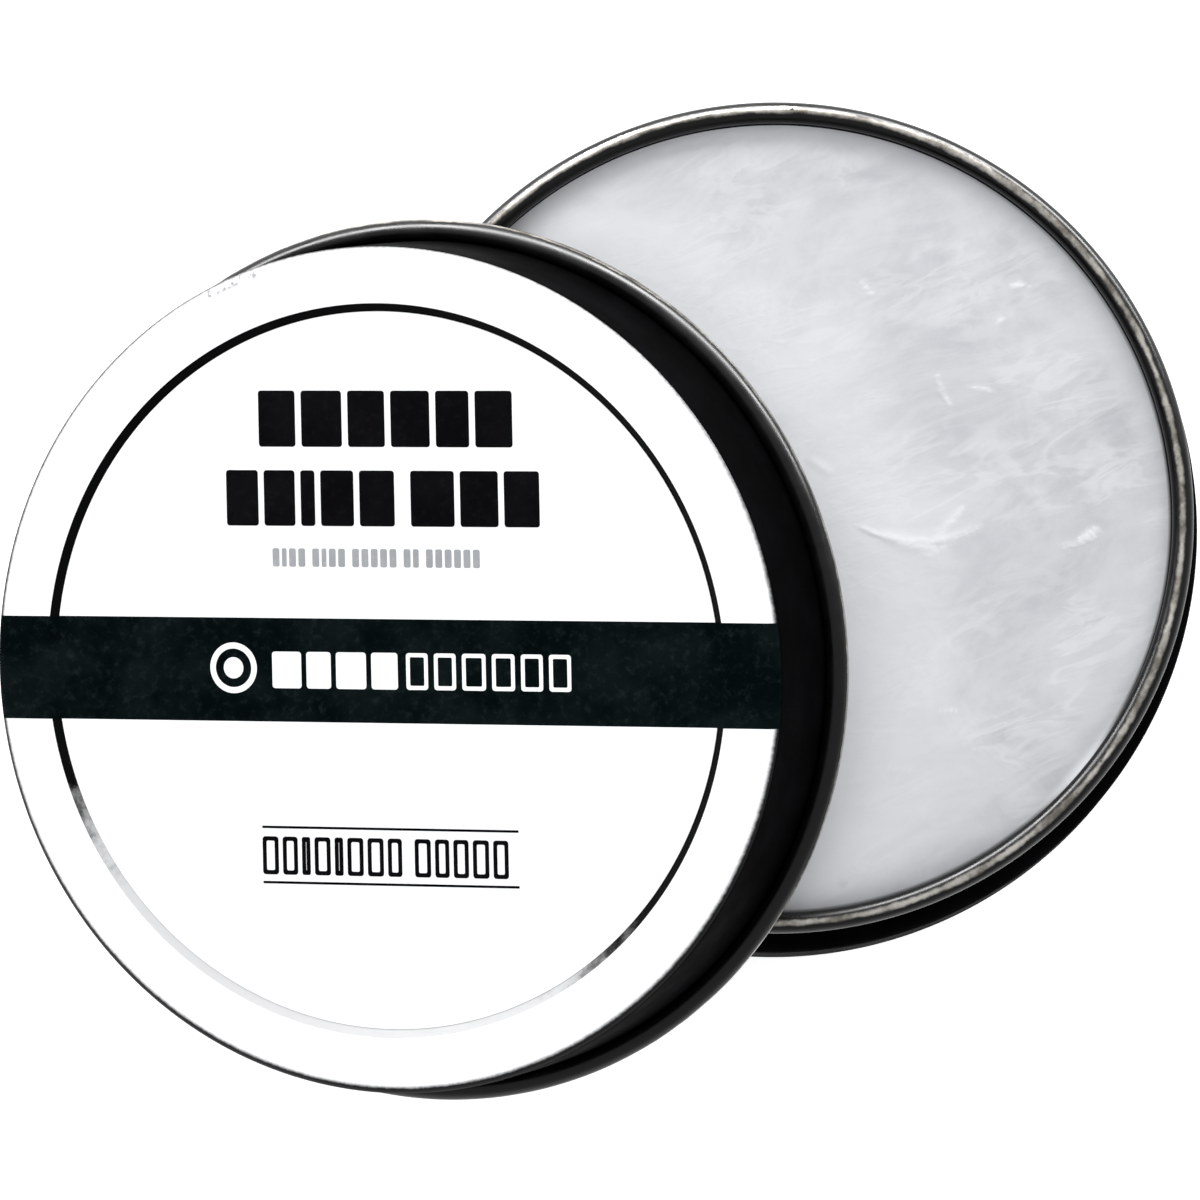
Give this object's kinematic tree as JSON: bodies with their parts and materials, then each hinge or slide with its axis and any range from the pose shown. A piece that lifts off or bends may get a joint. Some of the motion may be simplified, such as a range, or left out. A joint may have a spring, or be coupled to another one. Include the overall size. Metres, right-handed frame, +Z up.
{
  "type": "wax tin",
  "caption": "Round slip-lid tin of wax, open: a flat-bottomed base full of pale wax with its lid leaning on the rim.",
  "frame": {"origin": "centre of the base's flat underside", "axes": "+Z up along the base's axis; the lid leans towards -X, so the XZ plane is the plane of symmetry of the lean"},
  "size_m": [0.1216, 0.0872, 0.0468],
  "materials": {
    "base_enamel": "glossy black lacquered tinplate",
    "lid_enamel": "glossy black lacquered tinplate",
    "light_print": "smooth white enamel print",
    "dark_print": "smooth blue-black enamel print",
    "wax": "soft pale wax with faint fibrous streaks"
  },
  "bodies": {
    "base": {"base_cup": "base_enamel", "wax_cake": "wax"},
    "lid": {"lid_shell": "lid_enamel", "lid_print_panel": "light_print", "lid_print_border": "light_print", "lid_print_band": "dark_print"}
  },
  "joints": [
    {"name": "lid_lift", "type": "slide", "parent": "base", "child": "lid", "axis": [0, 0, 1], "range_m": [0, 0.06]}
  ]
}
